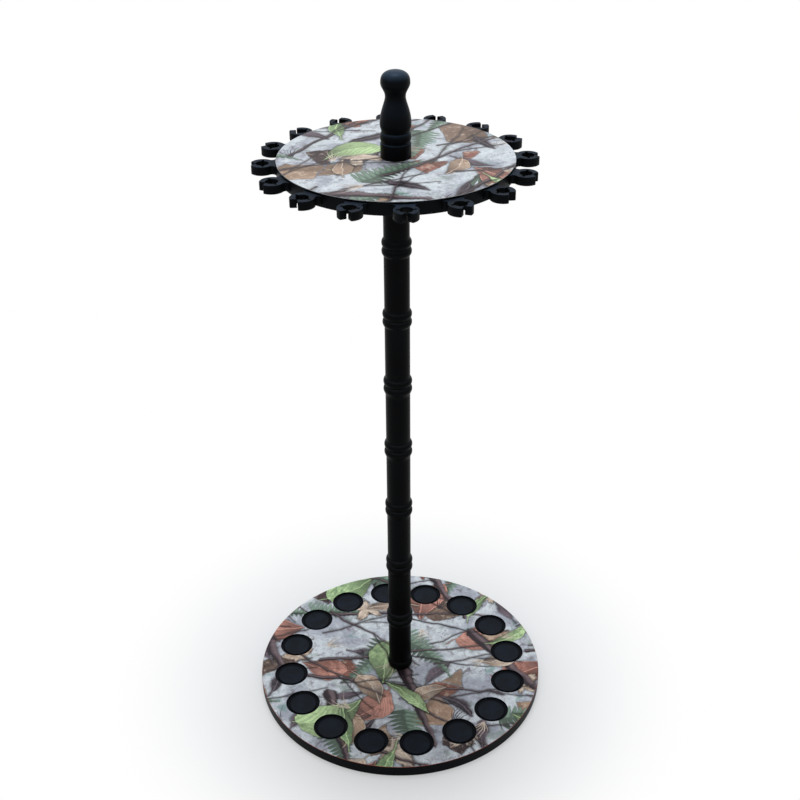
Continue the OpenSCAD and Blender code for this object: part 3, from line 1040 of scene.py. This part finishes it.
def clip_foot():
    """Half of the foot: a fillet out from the neck, and back along the edge of the disc."""
    disc_r = TOP_R / MM + DISC_GAP
    disc_u = -CLIP_CIRCLE_R / MM
    fillet_r = FOOT_HALF - NECK_HALF
    foot_end = math.sqrt(disc_r ** 2 - FOOT_HALF ** 2) + disc_u
    half_turn = math.degrees(math.asin(FOOT_HALF / disc_r))
    points = arc((foot_end + FOOT_END + fillet_r, FOOT_HALF), fillet_r, -90, -180, 8)
    return points + arc((disc_u, 0), disc_r, half_turn, 0, 10)


def clip_solid():
    """One clip before its screw hole, with moulded rounds along its edges."""
    half = rod_opening() + jaw() + clip_foot()
    outline = half + [(u, -v) for u, v in reversed(half[1:-1])]
    bm = bmesh.new()
    low = [bm.verts.new((u * MM, v * MM, CLIP_LOW_Z)) for u, v in outline]
    high = [bm.verts.new((u * MM, v * MM, CLIP_HIGH_Z)) for u, v in outline]
    band(bm, low, high)
    bm.faces.new(low)
    bm.faces.new(high)
    bmesh.ops.recalc_face_normals(bm, faces=bm.faces)
    rims = edges_of(bm, low) + edges_of(bm, high)
    bmesh.ops.bevel(bm, geom=rims, offset=0.4 * MM, segments=3, profile=0.5, affect="EDGES")
    return finished("clip_pattern", bm, [RUBBER], sharp_degrees=50)


def screw_hole_cutter(z):
    """Countersunk hole along -u through the back of a clip."""
    bm = bmesh.new()
    cone_end = SCREW_HEAD_U - (SCREW_HEAD_R - SCREW_HOLE_R) * HEAD_SLOPE
    outline = [(SCREW_HEAD_R, 0), (SCREW_HEAD_R, SCREW_HEAD_U), (SCREW_HOLE_R, cone_end),
               (SCREW_HOLE_R, CUTTER_END_U)]
    rings = []
    for radius, u in outline:
        circle = ring(bm, radius * MM, 0, HOLE_STEPS)
        for vert in circle:
            vert.co = Vector((u * MM, vert.co.x, z + vert.co.y))
        rings.append(circle)
    for first, second in zip(rings, rings[1:]):
        band(bm, first, second)
    bm.faces.new(rings[0])
    bm.faces.new(rings[-1])
    return finished("screw_hole_cutter", bm, [RUBBER])


def clip_mesh():
    """The mesh of one clip around the origin of its own axes, with its screw hole."""
    clip = clip_solid()
    cutter = screw_hole_cutter((CLIP_LOW_Z + CLIP_HIGH_Z) / 2)
    cut = clip.modifiers.new("screw_hole", "BOOLEAN")
    cut.operation = "DIFFERENCE"
    cut.solver = "EXACT"
    cut.object = cutter
    weld = clip.modifiers.new("doubled_corners", "WELD")
    weld.merge_threshold = 0.01 * MM
    even = clip.modifiers.new("even_shading", "WEIGHTED_NORMAL")
    even.keep_sharp = True
    shaped = clip.evaluated_get(bpy.context.evaluated_depsgraph_get())
    made = bpy.data.meshes.new_from_object(shaped)
    for used in (clip, cutter):
        bpy.data.objects.remove(used)
    return made


def clips():
    """The clips around the top disc, all from one mesh."""
    pattern = clip_mesh()
    for k in range(RODS):
        name = f"clip_{k + 1:02d}"
        mesh = pattern.copy()
        angle = CLIP_TURN + FULL_TURN * k / RODS - math.pi / 2
        x, y = spot(k, CLIP_TURN, CLIP_CIRCLE_R)
        mesh.transform(Matrix.Translation((x, y, 0)) @ Matrix.Rotation(angle, 4, "Z"))
        piece = bpy.data.objects.new("rubber_" + name, mesh)
        bpy.context.scene.collection.objects.link(piece)
        stands_for(piece, name)


def dress(node, material):
    """Gives a CAD node its finish."""
    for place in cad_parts[node].material_slots:
        place.material = material


# The stage: a pale floor, soft light and the photograph's camera

FLOOR_R = 30
SKY = (0.93, 0.96, 1.0, 1.0)
SKY_STRENGTH = 0.3
WHITE = (1.0, 1.0, 1.0, 1.0)


def pale_floor():
    """Pale floor that keeps the rack's soft shadow and shows as white further out."""
    bpy.ops.mesh.primitive_circle_add(
        vertices=96, radius=FLOOR_R, fill_type="NGON", location=(0, 0, 0)
    )
    floor = bpy.context.object
    floor.name = "floor"
    g = Finish("pale_floor")
    x, y, _ = g.split(g.place())
    away = g.math("SQRT", x * x + y * y)
    speckle = g.noise(g.place(), scale=40, detail=3)
    g.set(
        Base_Color=g.mix(srgb(236, 237, 238), srgb(240, 240, 240), speckle),
        Roughness=0.9,
        Specular_IOR_Level=0.1,
    )
    white = g.node("ShaderNodeEmission")
    whiteness = 0.3 + 0.7 * g.smooth(0.15, 0.42, away)
    g.end_with(g.shader.outputs[0], white.outputs[0], g.direct_view() * whiteness)
    floor.data.materials.append(g.material)


def world_light():
    """White behind the rack, and an even sky that lights it at a plain level."""
    world = bpy.data.worlds.new("studio")
    bpy.context.scene.world = world
    g = Graph(world, "World Output")
    sky = g.nodes["Background"]
    sky.inputs["Color"].default_value = SKY
    sky.inputs["Strength"].default_value = SKY_STRENGTH
    white = g.node("ShaderNodeBackground")
    white.inputs["Color"].default_value = WHITE
    g.end_with(sky.outputs[0], white.outputs[0], g.direct_view())


def softbox(name, place, aim, size, power, colour):
    """A square area lamp that looks at a point."""
    lamp = bpy.data.lights.new(name, "AREA")
    lamp.size = size
    lamp.energy = power
    lamp.color = colour
    made = bpy.data.objects.new(name, lamp)
    made.location = place
    made.rotation_euler = (Vector(aim) - Vector(place)).to_track_quat("-Z", "Y").to_euler()
    bpy.context.scene.collection.objects.link(made)


CAMERA_PLACE = (0.0, -1.352, 1.259)
CAMERA_PITCH = math.radians(30.79)
CAMERA_YAW = math.radians(0.11)
CAMERA_ROLL = math.radians(-0.43)
FOCAL_PIXELS = 1255.2
IMAGE_PIXELS = 800
SENSOR_MM = 36


def camera():
    """The camera at the photograph's place and angle."""
    lens = bpy.data.cameras.new("camera")
    lens.sensor_width = SENSOR_MM
    lens.lens = FOCAL_PIXELS / IMAGE_PIXELS * SENSOR_MM
    lens.clip_start = 0.05
    made = bpy.data.objects.new("camera", lens)
    pitch, yaw, roll = CAMERA_PITCH, CAMERA_YAW, CAMERA_ROLL
    ahead = Vector((
        math.sin(yaw) * math.cos(pitch), math.cos(yaw) * math.cos(pitch), -math.sin(pitch)
    ))
    level = Vector((math.cos(yaw), -math.sin(yaw), 0))
    upright = level.cross(ahead)
    right = math.cos(roll) * level + math.sin(roll) * upright
    up = math.cos(roll) * upright - math.sin(roll) * level
    turn = Matrix((right, up, -ahead)).transposed()
    made.matrix_world = Matrix.Translation(CAMERA_PLACE) @ turn.to_4x4()
    bpy.context.scene.collection.objects.link(made)
    bpy.context.scene.camera = made


camera()
world_light()
softbox("overhead", place=(0.0, 2.3, 10.0), aim=(0, 0, 0.5), size=4.3, power=620,
        colour=(0.92, 0.96, 1.0))
softbox("key", place=(-1.5, -1.6, 2.4), aim=(0, 0, 0.4), size=1.2, power=6,
        colour=(1.0, 0.98, 0.96))
pale_floor()
bpy.context.scene.view_settings.view_transform = "Standard"

base_board()
printed_sheet("printed_base_sheet", "base_laminate", BASE_R, BASE_HIGH.z, BASE_TOP,
              [BOLT_HOLE] + [(x, y, CUP_R, CUP_STEPS) for x, y in CUPS], BROWN_CORE)
cup_pads()
centre_post()
top_board()
printed_sheet("printed_top_sheet", "top_laminate", TOP_R, TOP_HIGH.z, TOP_TOP, [BOLT_HOLE],
              TOP_SHEET_HIGHLIGHT)
clips()
carrying_knob()
for fastener in ("base_bolt", "base_washer", "handle_stud"):
    dress(fastener, ZINC)
dress("clip_screws", BLACK_ZINC)
dress("post_inserts", BRASS)
